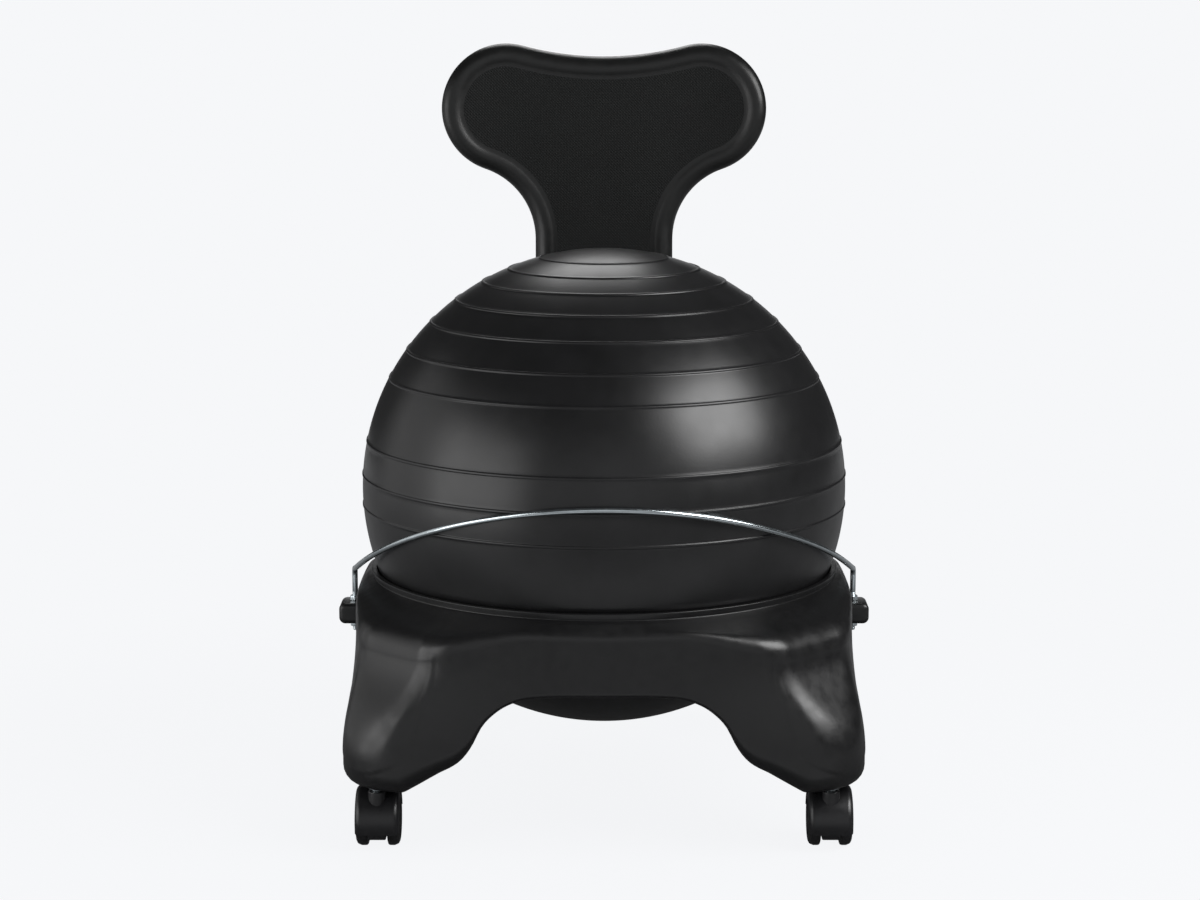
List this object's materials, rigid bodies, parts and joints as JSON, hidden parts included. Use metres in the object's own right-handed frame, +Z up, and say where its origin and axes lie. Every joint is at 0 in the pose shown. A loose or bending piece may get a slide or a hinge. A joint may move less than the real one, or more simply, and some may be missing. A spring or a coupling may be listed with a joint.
{
  "type": "balance ball chair",
  "caption": "Exercise ball seat held in a moulded base with arched sides on casters, with a steel retaining bar round the ball and a lobed backrest on posts at the rear.",
  "frame": {"origin": "centre of the bounding box on the floor under the wheels", "axes": "+Z up, front of the chair towards -Y, left casters towards -X"},
  "size_m": [0.559, 0.5572, 0.7809],
  "materials": {
    "base_plastic": "satin blow-moulded polyethylene",
    "backrest_plastic": "satin with a fine dotted panel",
    "ball_vinyl": "satin vinyl with raised rings",
    "plug_vinyl": "satin vinyl",
    "caster_plastic": "satin nylon",
    "wheel_plastic": "smooth nylon tread",
    "socket_plastic": "matte nylon",
    "painted_steel": "satin black powder coat",
    "bright_steel": "bright zinc plate",
    "dark_steel": "black oxide"
  },
  "bodies": {
    "base": {"base_shell": "base_plastic", "retaining_bar": "bright_steel", "backrest_shell": "backrest_plastic", "bar_nut_upper_left": "bright_steel", "bar_nut_lower_left": "bright_steel", "backrest_post_left": "painted_steel", "post_knob_left": "caster_plastic", "backrest_screw_lower_left": "dark_steel", "backrest_screw_upper_left": "dark_steel", "bar_nut_upper_right": "bright_steel", "bar_nut_lower_right": "bright_steel", "backrest_post_right": "painted_steel", "post_knob_right": "caster_plastic", "backrest_screw_lower_right": "dark_steel", "backrest_screw_upper_right": "dark_steel", "caster_socket_front_left": "socket_plastic", "caster_stem_front_left": "bright_steel", "caster_socket_front_right": "socket_plastic", "caster_stem_front_right": "bright_steel", "caster_socket_rear_left": "socket_plastic", "caster_stem_rear_left": "bright_steel", "caster_socket_rear_right": "socket_plastic", "caster_stem_rear_right": "bright_steel"},
    "ball": {"ball": "ball_vinyl", "ball_plug": "plug_vinyl"},
    "caster_front_left": {"caster_hood_front_left": "caster_plastic", "caster_axle_front_left": "bright_steel"},
    "wheel_front_left_left": {"wheel_front_left_left": "wheel_plastic"},
    "wheel_front_left_right": {"wheel_front_left_right": "wheel_plastic"},
    "caster_front_right": {"caster_hood_front_right": "caster_plastic", "caster_axle_front_right": "bright_steel"},
    "wheel_front_right_left": {"wheel_front_right_left": "wheel_plastic"},
    "wheel_front_right_right": {"wheel_front_right_right": "wheel_plastic"},
    "caster_rear_left": {"caster_hood_rear_left": "caster_plastic", "caster_axle_rear_left": "bright_steel"},
    "wheel_rear_left_left": {"wheel_rear_left_left": "wheel_plastic"},
    "wheel_rear_left_right": {"wheel_rear_left_right": "wheel_plastic"},
    "brake_rear_left": {"brake_lever_rear_left": "caster_plastic"},
    "caster_rear_right": {"caster_hood_rear_right": "caster_plastic", "caster_axle_rear_right": "bright_steel"},
    "wheel_rear_right_left": {"wheel_rear_right_left": "wheel_plastic"},
    "wheel_rear_right_right": {"wheel_rear_right_right": "wheel_plastic"},
    "brake_rear_right": {"brake_lever_rear_right": "caster_plastic"}
  },
  "joints": [
    {"name": "ball_turn", "type": "hinge", "parent": "base", "child": "ball", "pos_m": [0, -0.01744, 0.33], "axis": [0, 0, 1], "continuous": true},
    {"name": "caster_swivel_front_left", "type": "hinge", "parent": "base", "child": "caster_front_left", "pos_m": [-0.2255, -0.23544, 0.045], "axis": [0, 0, 1], "continuous": true},
    {"name": "wheel_front_left_left_roll", "type": "hinge", "parent": "caster_front_left", "child": "wheel_front_left_left", "pos_m": [-0.24125, -0.21744, 0.02746], "axis": [1, 0, 0], "continuous": true},
    {"name": "wheel_front_left_right_roll", "type": "hinge", "parent": "caster_front_left", "child": "wheel_front_left_right", "pos_m": [-0.20975, -0.21744, 0.02746], "axis": [1, 0, 0], "continuous": true},
    {"name": "caster_swivel_front_right", "type": "hinge", "parent": "base", "child": "caster_front_right", "pos_m": [0.2255, -0.23544, 0.045], "axis": [0, 0, 1], "continuous": true},
    {"name": "wheel_front_right_left_roll", "type": "hinge", "parent": "caster_front_right", "child": "wheel_front_right_left", "pos_m": [0.20975, -0.21744, 0.02746], "axis": [1, 0, 0], "continuous": true},
    {"name": "wheel_front_right_right_roll", "type": "hinge", "parent": "caster_front_right", "child": "wheel_front_right_right", "pos_m": [0.24125, -0.21744, 0.02746], "axis": [1, 0, 0], "continuous": true},
    {"name": "caster_swivel_rear_left", "type": "hinge", "parent": "base", "child": "caster_rear_left", "pos_m": [-0.2255, 0.20056, 0.045], "axis": [0, 0, 1], "continuous": true},
    {"name": "wheel_rear_left_left_roll", "type": "hinge", "parent": "caster_rear_left", "child": "wheel_rear_left_left", "pos_m": [-0.24125, 0.21856, 0.02746], "axis": [1, 0, 0], "continuous": true},
    {"name": "wheel_rear_left_right_roll", "type": "hinge", "parent": "caster_rear_left", "child": "wheel_rear_left_right", "pos_m": [-0.20975, 0.21856, 0.02746], "axis": [1, 0, 0], "continuous": true},
    {"name": "brake_press_rear_left", "type": "hinge", "parent": "caster_rear_left", "child": "brake_rear_left", "pos_m": [-0.2255, 0.23026, 0.04243], "axis": [1, 0, 0], "range_deg": [-14, 0]},
    {"name": "caster_swivel_rear_right", "type": "hinge", "parent": "base", "child": "caster_rear_right", "pos_m": [0.2255, 0.20056, 0.045], "axis": [0, 0, 1], "continuous": true},
    {"name": "wheel_rear_right_left_roll", "type": "hinge", "parent": "caster_rear_right", "child": "wheel_rear_right_left", "pos_m": [0.20975, 0.21856, 0.02746], "axis": [1, 0, 0], "continuous": true},
    {"name": "wheel_rear_right_right_roll", "type": "hinge", "parent": "caster_rear_right", "child": "wheel_rear_right_right", "pos_m": [0.24125, 0.21856, 0.02746], "axis": [1, 0, 0], "continuous": true},
    {"name": "brake_press_rear_right", "type": "hinge", "parent": "caster_rear_right", "child": "brake_rear_right", "pos_m": [0.2255, 0.23026, 0.04243], "axis": [1, 0, 0], "range_deg": [-14, 0]}
  ]
}
